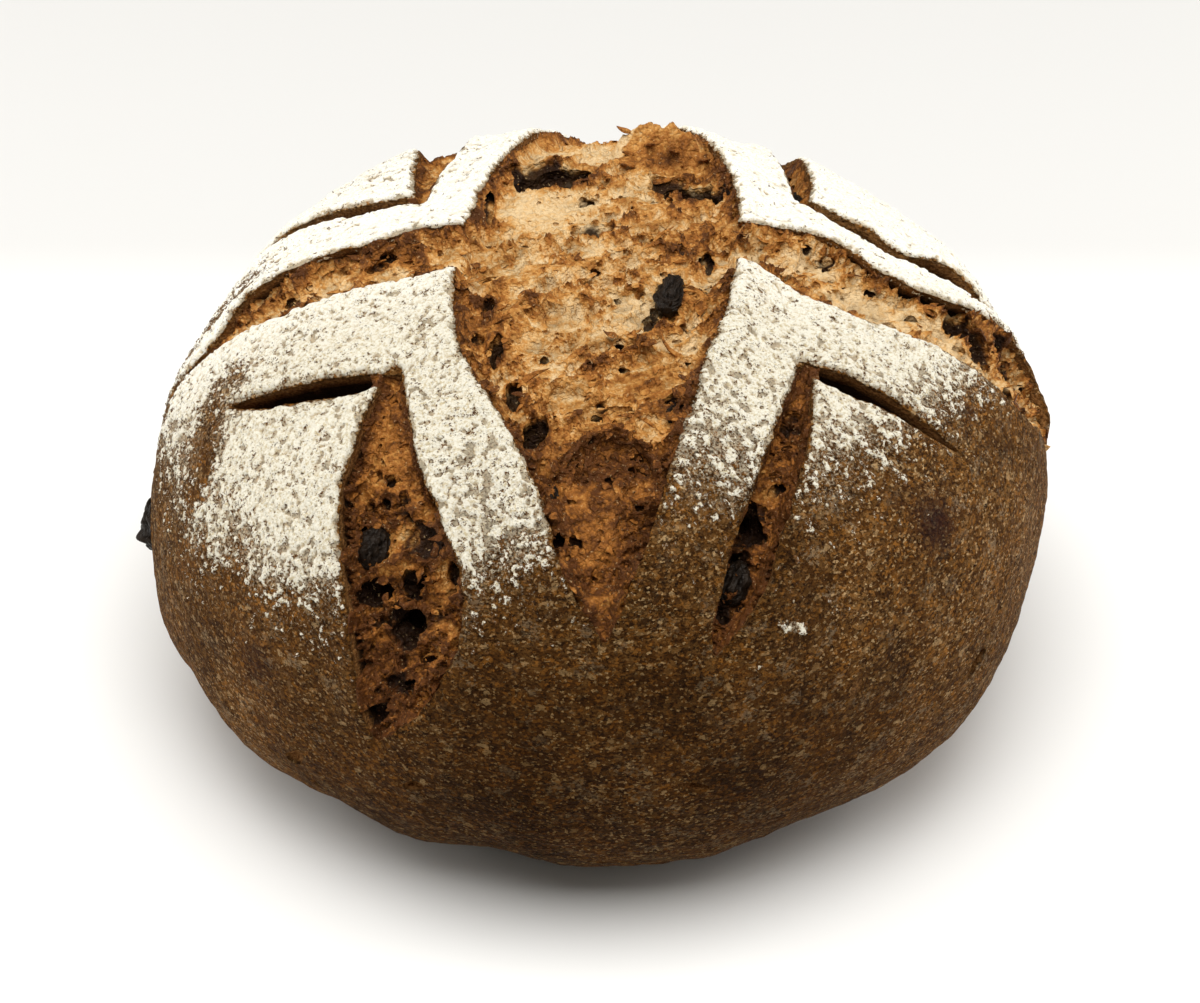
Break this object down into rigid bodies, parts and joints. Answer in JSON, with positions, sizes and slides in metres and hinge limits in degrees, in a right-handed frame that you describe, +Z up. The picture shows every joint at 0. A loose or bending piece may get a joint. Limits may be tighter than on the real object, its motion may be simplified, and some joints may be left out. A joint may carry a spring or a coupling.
{
  "type": "raisin walnut bread loaf",
  "caption": "Round hearth loaf of dark wholegrain bread, scored with a cross and corner cuts that opened in the oven, floured on top, raisins showing in crumb and crust.",
  "frame": {"origin": "middle of the flat base, on the surface that the loaf stands on", "axes": "+Z up from the base to the top, -Y towards the front as pictured, +X to the right of the front view"},
  "size_m": [0.2214, 0.2202, 0.126],
  "materials": {
    "crust": "baked dark brown wholegrain crust with fine tan bran specks",
    "crumb": "torn open crumb, golden tan with toasted ridges and paler cells",
    "flour": "dry granular dusting of cream-white flour",
    "raisin": "wrinkled black-brown skin with a soft sheen"
  },
  "bodies": {
    "root": {"loaf": "crust", "raisin_left_side": "raisin", "raisin_centre": "raisin", "raisin_centre_small": "raisin", "raisin_centre_edge": "raisin", "raisin_front_left_cut": "raisin", "raisin_front_right_cut": "raisin", "raisin_back_right_cut": "raisin"}
  },
  "joints": []
}
